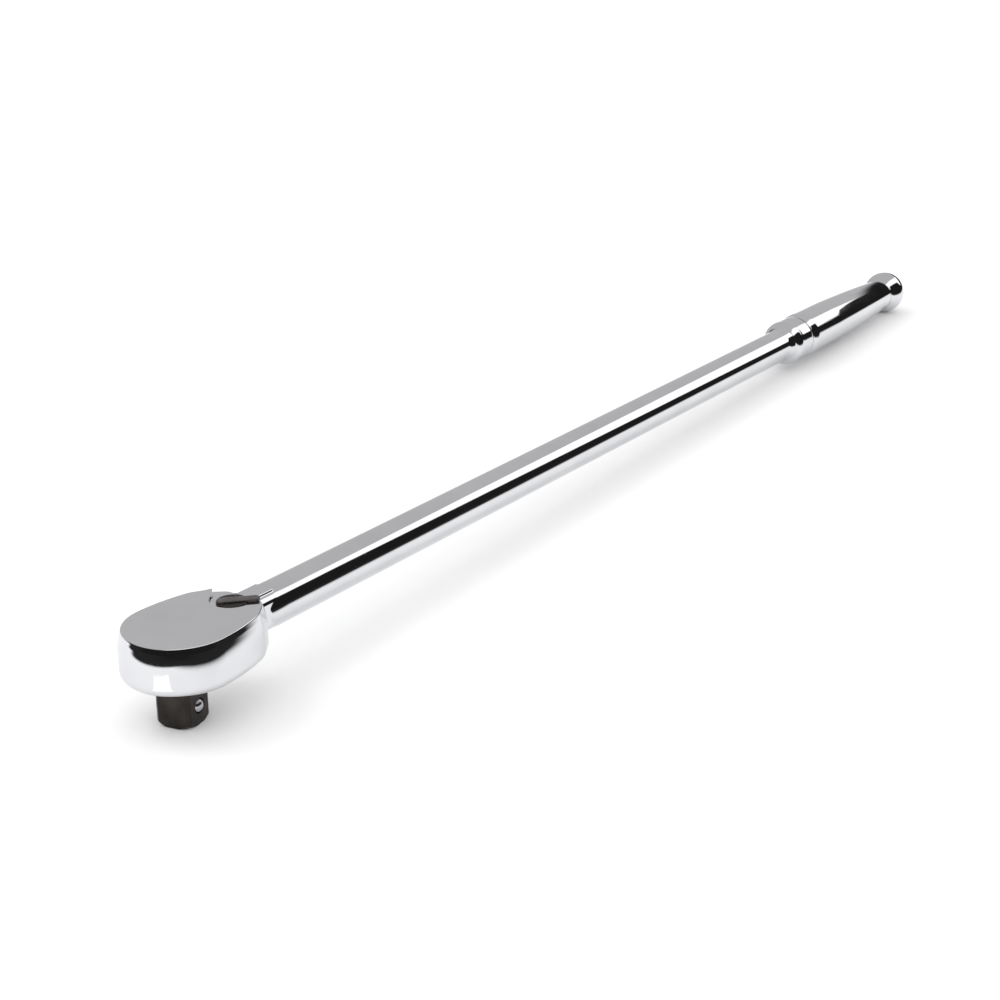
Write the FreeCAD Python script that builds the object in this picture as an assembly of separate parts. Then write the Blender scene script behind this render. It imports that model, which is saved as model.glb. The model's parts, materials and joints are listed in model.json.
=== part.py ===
import FreeCAD
import Part
import math
import os

Vec = FreeCAD.Vector

# Long-handle pear-head ratchet with a half-inch square drive. All sizes are in millimetres and degrees.
# Every solid is modelled about the shaft's axis (Z = 0) and the drive's axis (X = Y = 0), with the
# handle along +X. The finished solids are then lifted so that the drive's end face is at Z = 0.

# handle
overallLength = 610.0
shaftRadiusHead = 7.65
shaftRadiusGrip = 8.1
neckRadius = 7.45
neckHalfWidth = 6.2
neckOverlap = 4.0
neckWaist = 0.3
neckEndX = 36.0
shoulderLength = 7.5
shoulderRise = 0.35
landEndX = 40.6
ringRadius = 11.1
ringStart = 439.5
ringFrontLength = 4.5
ringEndX = 456.0
grooveWidth = 5.0
grooveDepth = 1.1
gripRadius = 11.4
gripFullLength = 32.0
gripMiddleRadius = 10.35
gripNeckRadius = 8.4
ballRadius = 11.35

# head, seen from above
headCentreX = 1.3
headTopRadius = 18.2
headSideRadius = 66.0
headShoulderX = 21.3
headTailX = 27.6
headTailInset = 7.3
headRearX = 30.6
headRearInset = 11.2
headShoulderRound = 7.0
headTailRound = 3.0
sideBulge = 1.2

# head, seen from the side
headAbove = 8.35
headBelow = 8.15
bulgeZ = 2.0
bottomRound = 3.2
recessFloorZ = 7.1
recessRadius = 7.3
recessFlareAngle = 42.0
landHalfWidth = 3.7

# square drive and ratchet gear
driveSize = 12.7
driveCornerStep = 1.65
driveLength = 15.9
driveEndChamfer = 1.3
driveTurn = 11.3
gearTeeth = 72
gearTipRadius = 12.6
toothDepth = 0.6
toothTipShare = 0.1
journalStep = 1.0
spigotRadius = 7.0
spigotHeight = 1.6
cavityCeilingZ = 4.9

# detent in the drive
ballHoleRadius = 2.56
detentBallRadius = 2.5
detentStandOut = 0.95
detentDrop = 9.85
detentTravel = 0.95
detentBoreDepth = 9.6
detentSpringTurns = 5
detentCoilGap = 0.3

# cover, washer, seal and screws
coverThickness = 2.4
coverFrontRadius = 14.4
coverRearX = 19.5
coverRearRadius = 10.2
tongueReach = 0.7
tongueThickness = 1.0
tongueHalfAngle = 32.0
washerThickness = 0.8
washerInset = 1.2
sealHeight = 1.3
sealWidth = 1.2
screwRadius = 1.25
screwHeadRadius = 2.25
screwLength = 6.0
slotWidth = 0.5
slotDepth = 0.6
screwPitchRadius = 7.6
screwAngle = 75.0

# pawl, its pin and its plunger
pinX = 16.6
pinRadius = 1.25
pinSeat = 1.6
pawlHalfAngle = 33.0
pawlToothStart = 19.0
pawlBackRadius = 16.8
pawlHornX = 20.3
pawlHornHalfWidth = 4.9
pawlWall = 1.2
pawlRock = 6.0
plungerRadius = 1.3
plungerLength = 4.6
plungerZ = -0.6
plungerTravel = 0.5
springWire = 0.22
plungerSpringTurns = 4
plungerCoilGap = 0.1

# reversing lever
leverX = 25.0
leverSwing = 43.0
leverReach = 9.0
leverHalfWidth = 1.7
leverTopZ = 8.2
hubRadius = 5.2
hubHeight = 0.45
spindleRadius = 3.2
leverSealWire = 0.27
clipThickness = 0.7
clipWidth = 1.1
clipGap = 0.12
clipMouth = 2.4
clipGrooveDepth = 0.6
sealGrooveHalf = 0.4
boreEndWall = 0.7

# clearances
runningGap = 0.06
faceGap = 0.05
moveGap = 0.4
toothGap = 0.12
camGap = 0.15
seatGap = 0.08

# worked out from the sizes above
driveCornerRadius = driveSize / 2 + driveCornerStep
journalRadius = driveCornerRadius + journalStep
headTailHalfWidth = headTopRadius - headTailInset
headRearHalfWidth = headTopRadius - headRearInset
washerRadius = gearTipRadius - washerInset
endX = overallLength - (headTopRadius + sideBulge - headCentreX)
ballX = endX - ballRadius
driveEndZ = -headBelow - driveLength
cavityRadius = gearTipRadius + moveGap
coverTopZ = -headBelow + coverThickness
gearBottomZ = coverTopZ + washerThickness + faceGap
gearTopZ = cavityCeilingZ - faceGap
ballZ = -headBelow - detentDrop
ballOut = driveSize / 2 - detentBallRadius + detentStandOut
pawlReliefRadius = gearTipRadius + 2 * moveGap
plungerReach = leverX - pinX - pinRadius - runningGap - pawlWall - camGap


def polar(radius, angle, z=0.0, centreX=0.0):
    a = math.radians(angle)
    return Vec(centreX + radius * math.cos(a), radius * math.sin(a), z)


def line(a, b):
    return Part.LineSegment(a, b).toShape()


def arc(a, b, c):
    return Part.Arc(a, b, c).toShape()


def cylinder(radius, low, high, x=0.0, y=0.0):
    return Part.makeCylinder(radius, high - low, Vec(x, y, low))


def prism(edges, low, high):
    face = Part.Face(Part.Wire(edges))
    face.translate(Vec(0, 0, low - face.BoundBox.ZMin))
    return face.extrude(Vec(0, 0, high - low))


def polygonPrism(points, low, high):
    wire = Part.makePolygon([Vec(x, y, low) for x, y in points + points[:1]])
    return Part.Face(wire).extrude(Vec(0, 0, high - low))


def turned(edges):
    # a half profile in the XZ plane, closed by the axis, turned about the X axis
    return Part.Face(Part.Wire(edges)).revolve(Vec(0, 0, 0), Vec(1, 0, 0), 360)


def swung(shape, angle, centreX):
    moved = shape.copy()
    moved.rotate(Vec(centreX, 0, 0), Vec(0, 0, 1), angle)
    return moved


def mirroredY(shape):
    return shape.mirror(Vec(0, 0, 0), Vec(0, 1, 0))


def pearWire():
    # the head's top outline, with its vertical corners rounded
    r = headTopRadius
    sideDrop = headSideRadius - math.sqrt(headSideRadius ** 2 - (headShoulderX - headCentreX) ** 2)
    midX = (headCentreX + headShoulderX) / 2
    midDrop = headSideRadius - math.sqrt(headSideRadius ** 2 - (midX - headCentreX) ** 2)
    edges = [arc(Vec(headCentreX, -r, 0), Vec(headCentreX - r, 0, 0), Vec(headCentreX, r, 0))]
    for side in (1, -1):
        side1 = Vec(headCentreX, side * r, 0)
        side2 = Vec(midX, side * (r - midDrop), 0)
        side3 = Vec(headShoulderX, side * (r - sideDrop), 0)
        tail = Vec(headTailX, side * headTailHalfWidth, 0)
        rear = Vec(headRearX, side * headRearHalfWidth, 0)
        edges += [arc(side1, side2, side3), line(side3, tail), line(tail, rear)]
    edges.append(line(Vec(headRearX, headRearHalfWidth, 0), Vec(headRearX, -headRearHalfWidth, 0)))
    blank = Part.Face(Part.Wire(Part.__sortEdges__(edges))).extrude(Vec(0, 0, 1))
    for x, radius in ((headShoulderX, headShoulderRound), (headTailX, headTailRound)):
        corners = [e for e in blank.Edges if isUpright(e) and abs(e.CenterOfMass.x - x) < 0.01]
        blank = blank.makeFillet(radius, corners)
    floor = min(blank.Faces, key=lambda f: f.CenterOfMass.z)
    return floor.OuterWire


def isUpright(edge):
    box = edge.BoundBox
    return box.ZLength > 0.5 and box.XLength < 0.01 and box.YLength < 0.01


def headBlock():
    top = pearWire()
    body = top.makeOffset2D(sideBulge)
    low = Part.Face(body).extrude(Vec(0, 0, bulgeZ + headBelow))
    low.translate(Vec(0, 0, -headBelow))
    bottomEdges = [e for e in low.Edges if abs(e.BoundBox.ZMax + headBelow) < 0.01]
    low = low.makeFillet(bottomRound, bottomEdges)
    lower = body.copy()
    lower.translate(Vec(0, 0, bulgeZ))
    upper = top.copy()
    upper.translate(Vec(0, 0, headAbove))
    slope = Part.makeLoft([lower, upper], True, True)
    return low.fuse(slope)


def neck():
    # the shaft's own round, hollowed at its sides and flat on top, from the head to the shoulder
    start = headTailX - neckOverlap
    end = landEndX
    middle = (headRearX + neckEndX) / 2
    rod = turned([
        line(Vec(start, 0, 0), Vec(start, 0, neckRadius)),
        line(Vec(start, 0, neckRadius), Vec(end, 0, neckRadius)),
        line(Vec(end, 0, neckRadius), Vec(end, 0, 0)),
        line(Vec(end, 0, 0), Vec(start, 0, 0)),
    ])
    sides = neckOutline(start, middle, neckRadius, neckHalfWidth, -headBelow)
    land = neckOutline(start, middle, neckRadius, landHalfWidth, 0)
    return rod.common(sides).fuse(land)


def neckOutline(start, middle, wide, narrow, low):
    # a block under the recess's floor, whose sides draw in towards the shaft
    left = [Vec(start, wide + 1, 0), Vec(middle, narrow + neckWaist, 0), Vec(neckEndX, narrow, 0)]
    end = [Vec(landEndX, narrow, 0), Vec(landEndX, -narrow, 0)]
    right = [Vec(p.x, -p.y, 0) for p in left]
    edges = [arc(*left), line(left[2], end[0]), line(*end), line(end[1], right[2]), arc(*right)]
    edges.append(line(right[0], left[0]))
    return prism(Part.__sortEdges__(edges), low, recessFloorZ)


def shaftAndGrip():
    # the shaft, its raised ring, the grip and the ball, as one outline turned about the shaft's axis
    gripStart = ringEndX + grooveWidth
    gripFullX = gripStart + gripFullLength
    ballMeetX = ballX - math.sqrt(ballRadius ** 2 - gripNeckRadius ** 2)
    shoulderMid = (neckHalfWidth + shaftRadiusHead) / 2 + shoulderRise
    slope = ringRadius - shaftRadiusGrip
    points = [Vec(neckEndX - 1, 0, 0)]
    edges = []

    def go(x, z):
        edges.append(line(points[-1], Vec(x, 0, z)))
        points.append(Vec(x, 0, z))

    def bend(midX, midZ, x, z):
        edges.append(arc(points[-1], Vec(midX, 0, midZ), Vec(x, 0, z)))
        points.append(Vec(x, 0, z))

    go(neckEndX - 1, neckHalfWidth - 0.5)
    go(neckEndX, neckHalfWidth)
    bend(neckEndX + shoulderLength * 0.4, shoulderMid, neckEndX + shoulderLength, shaftRadiusHead)
    go(ringStart, shaftRadiusGrip)
    bend(ringStart + ringFrontLength * 0.3, ringRadius - slope * 0.3, ringStart + ringFrontLength, ringRadius)
    go(ringEndX, ringRadius)
    bend(ringEndX + grooveWidth / 2, ringRadius - grooveDepth, gripStart, gripRadius)
    go(gripFullX, gripRadius)
    bend((gripFullX + ballMeetX) / 2, gripMiddleRadius, ballMeetX, gripNeckRadius)
    bend(ballX, ballRadius, endX, 0)
    go(neckEndX - 1, 0)
    return turned(edges)


def gearPrism(extra, low, high):
    # V teeth with small flats; extra grows the whole outline to make a clearance tool
    tip = gearTipRadius + extra
    root = tip - toothDepth
    pitch = 360.0 / gearTeeth
    flat = pitch * toothTipShare / 2
    points = []
    for tooth in range(gearTeeth):
        middle = tooth * pitch
        for radius, angle in ((tip, -flat), (tip, flat), (root, pitch / 2 - flat), (root, pitch / 2 + flat)):
            p = polar(radius, middle + angle)
            points.append((p.x, p.y))
    return polygonPrism(points, low, high)


def hullWire(r1, x2, r2, z):
    # outline round two circles, one at the drive's axis and one behind it
    theta = math.acos((r1 - r2) / x2)
    c = math.cos(theta)
    s = math.sin(theta)
    a1 = Vec(r1 * c, r1 * s, z)
    a2 = Vec(x2 + r2 * c, r2 * s, z)
    b1 = Vec(a1.x, -a1.y, z)
    b2 = Vec(a2.x, -a2.y, z)
    return Part.Wire([line(a1, a2), arc(a2, Vec(x2 + r2, 0, z), b2), line(b2, b1),
        arc(b1, Vec(-r1, 0, z), a1)])


def sector(inner, outer, halfAngle, low, high, middle=0.0):
    a = polar(inner, middle - halfAngle)
    b = polar(outer, middle - halfAngle)
    c = polar(outer, middle)
    d = polar(outer, middle + halfAngle)
    e = polar(inner, middle + halfAngle)
    f = polar(inner, middle)
    return prism([line(a, b), arc(b, c, d), line(d, e), arc(e, f, a)], low, high)


def tongue(gap):
    low = coverTopZ - tongueThickness - gap
    high = coverTopZ
    return sector(coverFrontRadius - 1.5, coverFrontRadius + tongueReach + gap, tongueHalfAngle + gap,
        low, high, 180)


def pawlSpace():
    # room for the pawl to rock, and for the lever's spindle and its clip
    low = coverTopZ - 0.01
    swing = math.radians(pawlRock) * (pawlBackRadius * math.sin(math.radians(pawlHalfAngle)))
    outer = pawlBackRadius + swing + moveGap
    fan = sector(gearTipRadius - 2, outer, pawlHalfAngle + 3.0, low, cavityCeilingZ)
    hornSwing = math.radians(pawlRock) * pawlHornHalfWidth
    hornX = pawlHornX + hornSwing + moveGap
    half = pawlHornHalfWidth + moveGap
    horns = Part.makeBox(hornX - pinX, 2 * half, cavityCeilingZ - low, Vec(pinX, -half, low))
    clipRadius = spindleRadius - clipGrooveDepth + clipWidth + moveGap
    well = cylinder(clipRadius, low, cavityCeilingZ, leverX)
    passage = Part.makeBox(leverX - pinX, 2 * spindleRadius, cavityCeilingZ - low,
        Vec(pinX, -spindleRadius, low))
    plungerTop = plungerZ + plungerRadius + moveGap
    sweep = cylinder(plungerReach + moveGap, low, plungerTop, leverX)
    sweep = sweep.common(Part.makeBox(leverX - pinX, 20, 20, Vec(pinX, -10, low)))
    return fan.fuse([horns, well, passage, sweep])


def recessCut():
    # the flat sunk in the rear of the head's top, for the lever to swing over
    turn = 90 + recessFlareAngle / 4
    start = polar(recessRadius, turn, 0, leverX)
    a = math.radians(recessFlareAngle)
    reach = headTopRadius
    flare = Vec(start.x + reach * math.cos(a), start.y + reach * math.sin(a), 0)
    points = [(start.x, start.y), (flare.x, flare.y), (landEndX, flare.y)]
    points += [(x, -y) for x, y in reversed(points)]
    high = headAbove + 1
    return polygonPrism(points, recessFloorZ, high).fuse(cylinder(recessRadius, recessFloorZ, high, leverX))


def screwPlaces():
    places = []
    for side in (1, -1):
        p = polar(screwPitchRadius, side * screwAngle, 0, coverRearX)
        places.append((p.x, p.y))
    return places


def screwShape(x, y, gap):
    # a countersunk screw, its head flush with the cover's outer face
    low = -headBelow
    shank = cylinder(screwRadius + gap, low, low + screwLength + gap, x, y)
    sink = screwHeadRadius - screwRadius
    head = Part.makeCone(screwHeadRadius + gap, screwRadius + gap, sink, Vec(x, y, low))
    return shank.fuse(head)


def handleForging():
    body = headBlock().fuse([neck(), shaftAndGrip()])
    body = body.cut(recessCut())
    rebate = Part.Face(hullWire(coverFrontRadius + seatGap, coverRearX, coverRearRadius + seatGap, 0))
    rebate = rebate.extrude(Vec(0, 0, coverThickness + 1))
    rebate.translate(Vec(0, 0, -headBelow - 1))
    cuts = [rebate, tongue(seatGap), cylinder(cavityRadius, coverTopZ - 0.01, cavityCeilingZ), pawlSpace()]
    cuts.append(cylinder(spigotRadius + runningGap, 0, cavityCeilingZ + spigotHeight + faceGap))
    cuts.append(cylinder(spindleRadius + runningGap, 0, headAbove + 1, leverX))
    cuts.append(cylinder(pinRadius, 0, cavityCeilingZ + pinSeat, pinX))
    for x, y in screwPlaces():
        cuts.append(cylinder(screwRadius, coverTopZ - 1, -headBelow + screwLength + 0.5, x, y))
    for cut in cuts:
        body = body.cut(cut)
    return body.removeSplitter()


def coverPlate():
    plate = Part.Face(hullWire(coverFrontRadius, coverRearX, coverRearRadius, -headBelow))
    plate = plate.extrude(Vec(0, 0, coverThickness))
    plate = plate.fuse(tongue(0))
    plate = plate.cut(cylinder(journalRadius + runningGap, -headBelow - 1, 0))
    sealLow = -headBelow + (coverThickness - sealHeight) / 2
    plate = plate.cut(cylinder(journalRadius + sealWidth, sealLow, sealLow + sealHeight))
    plate = plate.cut(cylinder(pinRadius, coverTopZ - pinSeat, 0, pinX))
    for x, y in screwPlaces():
        plate = plate.cut(screwShape(x, y, 0.0))
    return plate.removeSplitter()


def driveSeal():
    low = -headBelow + (coverThickness - sealHeight) / 2
    outer = cylinder(journalRadius + sealWidth, low, low + sealHeight)
    return outer.cut(cylinder(journalRadius + runningGap, low - 1, 0))


def coverScrews():
    screws = []
    for x, y in screwPlaces():
        screw = screwShape(x, y, 0.0)
        slot = Part.makeBox(2 * screwHeadRadius, slotWidth, slotDepth,
            Vec(x - screwHeadRadius, y - slotWidth / 2, -headBelow))
        screws.append(screw.cut(slot))
    return Part.makeCompound(screws)


def thrustWasher():
    outer = cylinder(washerRadius, coverTopZ, coverTopZ + washerThickness)
    return outer.cut(cylinder(journalRadius + runningGap, coverTopZ - 1, 0))


def driveGear():
    gear = gearPrism(0, gearBottomZ, gearTopZ)
    gear = gear.fuse(cylinder(spigotRadius, 0, cavityCeilingZ + spigotHeight))
    gear = gear.fuse(cylinder(journalRadius, -headBelow, 0))
    turnedBar = cylinder(driveCornerRadius, driveEndZ, 0)
    endEdge = [e for e in turnedBar.Edges if abs(e.CenterOfMass.z - driveEndZ) < 0.01]
    turnedBar = turnedBar.makeChamfer(driveEndChamfer, endEdge)
    half = driveSize / 2
    square = Part.makeBox(driveSize, driveSize, -driveEndZ, Vec(-half, -half, driveEndZ))
    square = square.common(turnedBar)
    bore = Part.makeCylinder(ballHoleRadius, detentBoreDepth, Vec(half + 0.01, 0, ballZ), Vec(-1, 0, 0))
    square = square.cut(bore)
    square.rotate(Vec(0, 0, 0), Vec(0, 0, 1), driveTurn - 90)
    return gear.fuse(square).removeSplitter()


def coil(radius, start, length, turns):
    # a compression spring along +X, with its coils evenly spaced
    pitch = (length - 2 * springWire) / turns
    helix = Part.makeHelix(pitch, pitch * turns, radius)
    section = Part.Wire(Part.makeCircle(springWire, Vec(radius, 0, 0), Vec(0, 1, 0)))
    spring = Part.Wire(helix.Edges).makePipeShell([section], True, True)
    spring.rotate(Vec(0, 0, 0), Vec(0, 1, 0), 90)
    spring.translate(Vec(start + springWire, 0, 0))
    return spring


def detentBall():
    ball = Part.makeSphere(detentBallRadius, Vec(ballOut, 0, ballZ))
    ball.rotate(Vec(0, 0, 0), Vec(0, 0, 1), driveTurn - 90)
    return ball


def detentSpring():
    back = driveSize / 2 - detentBoreDepth + detentTravel + 2 * runningGap
    spring = coil(ballHoleRadius - springWire - detentCoilGap, back, ballOut - detentBallRadius - back,
        detentSpringTurns)
    spring.translate(Vec(0, 0, ballZ))
    spring.rotate(Vec(0, 0, 0), Vec(0, 0, 1), driveTurn - 90)
    return spring


def pawl():
    # the pawl is shaped in its middle position, then rocked so that its +Y end is in mesh
    low = coverTopZ + 2 * faceGap
    high = cavityCeilingZ - 2 * faceGap
    body = sector(gearTipRadius - toothDepth, pawlBackRadius, pawlHalfAngle, low, high)
    horns = Part.makeBox(pawlHornX - pinX, 2 * pawlHornHalfWidth, high - low,
        Vec(pinX, -pawlHornHalfWidth, low))
    body = body.fuse(horns)
    relief = sector(gearTipRadius - 2, pawlReliefRadius, pawlToothStart, low - 1, high + 1)
    body = body.cut(relief)
    fatGear = swung(gearPrism(toothGap, low - 1, high + 1), -pawlRock, pinX)
    body = body.cut(fatGear)
    body = body.cut(mirroredY(fatGear))
    body = body.cut(cylinder(pinRadius + runningGap, low - 1, high + 1, pinX))
    body = body.cut(camTrack(low - 1, high + 1))
    return swung(body.removeSplitter(), pawlRock, pinX)


def camPoint(leverAngle):
    # where the plunger's nose runs, seen from the pawl, with the lever at an angle from its middle
    rock = -pawlRock * leverAngle / leverSwing
    nose = polar(plungerReach + camGap, 180 + leverAngle, 0, leverX)
    offset = Part.Vertex(nose)
    offset.rotate(Vec(pinX, 0, 0), Vec(0, 0, 1), -rock)
    return offset.Point


def camTrack(low, high):
    # a round pocket through the pawl's back that the plunger's nose stays just clear of
    middle = camPoint(0)
    ends = camPoint(-leverSwing)
    a = Vec(ends.x, abs(ends.y), 0)
    half = (a - middle).Length / 2
    lean = math.atan2(a.x - middle.x, a.y - middle.y)
    radius = half / math.sin(lean)
    return cylinder(radius, low, high, middle.x + radius)


def pawlPin():
    return cylinder(pinRadius, coverTopZ - pinSeat, cavityCeilingZ + pinSeat, pinX)


def plungerAxis(shape):
    # parts made along -X from the pivot are turned to the lever's rest angle
    return swung(shape, -leverSwing, leverX)


def pawlPlunger():
    tail = leverX - plungerReach + plungerLength
    nose = leverX - plungerReach + plungerRadius
    rod = Part.makeCylinder(plungerRadius, tail - nose, Vec(nose, 0, plungerZ), Vec(1, 0, 0))
    rod = rod.fuse(Part.makeSphere(plungerRadius, Vec(nose, 0, plungerZ)))
    return plungerAxis(rod.removeSplitter())


def plungerSpring():
    tail = leverX - plungerReach + plungerLength
    back = leverX + spindleRadius - boreEndWall - plungerTravel - runningGap
    spring = coil(plungerRadius - springWire - plungerCoilGap, tail, back - tail, plungerSpringTurns)
    spring.translate(Vec(0, 0, plungerZ))
    return plungerAxis(spring)


def reversingLever():
    floor = recessFloorZ + runningGap
    hub = cylinder(hubRadius, floor, floor + hubHeight, leverX)
    tipX = leverX + leverReach
    back = leverX - leverHalfWidth
    w = leverHalfWidth
    arm = prism([
        line(Vec(leverX, -w, 0), Vec(tipX - w, -w, 0)),
        arc(Vec(tipX - w, -w, 0), Vec(tipX, 0, 0), Vec(tipX - w, w, 0)),
        line(Vec(tipX - w, w, 0), Vec(leverX, w, 0)),
        arc(Vec(leverX, w, 0), Vec(back, 0, 0), Vec(leverX, -w, 0)),
    ], floor, leverTopZ)
    spindleLow = coverTopZ + 2 * faceGap
    spindle = cylinder(spindleRadius, spindleLow, floor + hubHeight, leverX)
    sealZ = (cavityCeilingZ + recessFloorZ) / 2
    sealGroove = ringShape(spindleRadius - 2 * leverSealWire, spindleRadius + 1, sealZ - sealGrooveHalf,
        sealZ + sealGrooveHalf)
    clipHigh = cavityCeilingZ - clipGap
    clipGroove = ringShape(spindleRadius - clipGrooveDepth, spindleRadius + 1, clipHigh - clipThickness,
        clipHigh)
    depth = plungerReach + spindleRadius - boreEndWall
    bore = Part.makeCylinder(plungerRadius + runningGap, depth, Vec(leverX - plungerReach, 0, plungerZ),
        Vec(1, 0, 0))
    lever = spindle.cut(sealGroove).cut(clipGroove).cut(bore)
    lever = lever.fuse([hub, arm]).removeSplitter()
    return swung(lever, -leverSwing, leverX)


def ringShape(inner, outer, low, high):
    return cylinder(outer, low, high, leverX).cut(cylinder(inner, low - 1, high + 1, leverX))


def leverSeal():
    sealZ = (cavityCeilingZ + recessFloorZ) / 2
    return Part.makeTorus(spindleRadius - leverSealWire, leverSealWire, Vec(leverX, 0, sealZ))


def leverClip():
    high = cavityCeilingZ - clipGap
    inner = spindleRadius - clipGrooveDepth
    clip = ringShape(inner, inner + clipWidth, high - clipThickness, high)
    gap = Part.makeBox(inner + clipWidth + 1, clipMouth, 2 * clipThickness,
        Vec(leverX, -clipMouth / 2, high - 1.5 * clipThickness))
    return swung(clip.cut(gap), -leverSwing, leverX)


makers = {
    "handle_forging": handleForging,
    "cover_plate": coverPlate,
    "cover_screws": coverScrews,
    "drive_seal": driveSeal,
    "thrust_washer": thrustWasher,
    "drive_gear": driveGear,
    "detent_ball": detentBall,
    "detent_spring": detentSpring,
    "pawl": pawl,
    "pawl_pin": pawlPin,
    "pawl_plunger": pawlPlunger,
    "plunger_spring": plungerSpring,
    "reversing_lever": reversingLever,
    "lever_seal": leverSeal,
    "lever_clip": leverClip,
}

os.makedirs("parts", exist_ok=True)
for name, maker in makers.items():
    shape = maker()
    shape.translate(Vec(0, 0, -driveEndZ))
    shape.exportStep("parts/" + name + ".step")
    print(name, len(shape.Solids), "solid", round(shape.Volume, 1), "mm3",
        "valid" if shape.isValid() else "INVALID")
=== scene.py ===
import bmesh
import bpy
import json
import math
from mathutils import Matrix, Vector


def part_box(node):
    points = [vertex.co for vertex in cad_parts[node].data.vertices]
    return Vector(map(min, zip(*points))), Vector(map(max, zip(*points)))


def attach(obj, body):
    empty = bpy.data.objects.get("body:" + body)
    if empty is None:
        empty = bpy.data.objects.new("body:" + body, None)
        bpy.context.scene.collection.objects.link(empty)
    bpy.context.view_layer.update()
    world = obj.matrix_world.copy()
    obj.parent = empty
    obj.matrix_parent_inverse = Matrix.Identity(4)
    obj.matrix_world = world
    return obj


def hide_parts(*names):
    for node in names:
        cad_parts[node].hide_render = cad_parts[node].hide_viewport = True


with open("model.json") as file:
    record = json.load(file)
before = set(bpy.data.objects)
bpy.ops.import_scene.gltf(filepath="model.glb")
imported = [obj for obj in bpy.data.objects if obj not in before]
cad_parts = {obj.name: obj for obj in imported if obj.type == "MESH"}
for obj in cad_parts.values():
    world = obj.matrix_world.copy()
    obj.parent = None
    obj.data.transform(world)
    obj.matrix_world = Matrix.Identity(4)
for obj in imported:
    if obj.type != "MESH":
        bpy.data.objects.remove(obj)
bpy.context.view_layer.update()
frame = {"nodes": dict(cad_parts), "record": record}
mm = 0.001
print("frame loaded:", len(frame["nodes"]), "nodes")

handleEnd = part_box("handle_forging")[1].x / mm
headShape = {
    "above": 8.35,          # shaft's axis to the top face
    "below": 8.15,          # shaft's axis to the cover's face
    "centreX": 1.3,
    "noseRadius": 18.2,
    "sideRadius": 66.0,
    "shoulderX": 21.3,
    "tail": (27.6, 10.9),
    "rear": (30.6, 7.0),
    "shoulderRound": 7.0,
    "tailRound": 3.0,
    "bulge": 1.2,           # how far the sides swell below the top outline
    "bulgeZ": 2.8,
    "bulgeBlend": 2.0,
    "bottomRound": 3.2,
    "topBevel": 0.5,
    "stations": 190,        # per half outline
}
recessShape = {
    "floor": 7.1,
    "radius": 7.3,
    "centreX": 25.0,
    "flareAngle": 42.0,
    "edge": 0.22,
    "foot": 0.3,
}
neckShape = {
    "radius": 7.45,
    "halfWidth": 6.2,
    "startHalfWidth": 7.3,
    "endX": 36.0,
    "landHalfWidth": 3.7,
    "landEnd": 40.6,
    "shoulderLength": 7.5,
    "blend": 0.22,
}
gripShape = {
    "shaftRadiusHead": 7.65,
    "shaftRadiusGrip": 8.1,
    "ringStart": 439.5,
    "ringFront": 4.5,
    "ringEnd": 456.0,
    "ringRadius": 11.1,
    "grooveWidth": 5.0,
    "grooveDepth": 1.1,
    "radius": 11.4,
    "fullLength": 32.0,
    "middleRadius": 10.35,
    "neckRadius": 8.4,
    "ballRadius": 11.35,
    "sides": 160,
}
# the grip is the tallest part of the forging, so its top gives the height of the shaft's axis
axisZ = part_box("handle_forging")[1].z / mm - gripShape["radius"]


def lift(x, y, z):
    # from millimetres about the shaft's axis to metres in the frame
    return Vector((x * mm, y * mm, (z + axisZ) * mm))


def arcPoints(a, b, c, count):
    # points on the circle through three points of a plane, from a to c
    ax, ay, bx, by, cx, cy = *a, *b, *c
    d = 2 * (ax * (by - cy) + bx * (cy - ay) + cx * (ay - by))
    aa, bb, cc = ax * ax + ay * ay, bx * bx + by * by, cx * cx + cy * cy
    ux = (aa * (by - cy) + bb * (cy - ay) + cc * (ay - by)) / d
    uy = (aa * (cx - bx) + bb * (ax - cx) + cc * (bx - ax)) / d
    radius = math.hypot(ax - ux, ay - uy)
    start = math.atan2(ay - uy, ax - ux)
    middle = math.atan2(by - uy, bx - ux)
    end = math.atan2(cy - uy, cx - ux)
    turn = (end - start) % (2 * math.pi)
    if (middle - start) % (2 * math.pi) > turn:
        turn -= 2 * math.pi
    angles = [start + turn * i / count for i in range(count + 1)]
    return [(ux + radius * math.cos(t), uy + radius * math.sin(t)) for t in angles]


def rounded(before, corner, after, radius, count=8):
    # the arc that rounds a corner between two straight runs
    p, c, q = Vector(before), Vector(corner), Vector(after)
    u, v = (p - c).normalized(), (q - c).normalized()
    turn = math.pi - u.angle(v)
    reach = radius * math.tan(turn / 2)
    centre = c + (u + v).normalized() * (radius / math.cos(turn / 2))
    a, b = c + u * reach, c + v * reach
    middle = centre + (c - centre).normalized() * radius
    return arcPoints(tuple(a), tuple(middle), tuple(b), count)


def evenly(points, count):
    # the same open line with evenly spaced points
    steps = [math.dist(a, b) for a, b in zip(points, points[1:])]
    total, out, i, gone = sum(steps), [points[0]], 0, 0.0
    for k in range(1, count):
        want = total * k / count
        while gone + steps[i] < want:
            gone += steps[i]
            i += 1
        t = (want - gone) / steps[i]
        out.append(tuple(p + (q - p) * t for p, q in zip(points[i], points[i + 1])))
    return out + [points[-1]]


def outward(points):
    # unit normals of a closed outline that runs anticlockwise
    count = len(points)
    normals = []
    for i in range(count):
        a, b = points[i - 1], points[(i + 1) % count]
        n = Vector((b[1] - a[1], a[0] - b[0])).normalized()
        normals.append(n)
    return normals


def strip(bm, rows, closed=True):
    # quads between rows of vertices
    for low, high in zip(rows, rows[1:]):
        count = len(low)
        for i in range(count if closed else count - 1):
            j = (i + 1) % count
            quad = [low[i], low[j], high[j], high[i]]
            if len(set(quad)) == 4:
                bm.faces.new(quad)
            elif len(set(quad)) == 3:
                bm.faces.new(list(dict.fromkeys(quad)))


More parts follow.
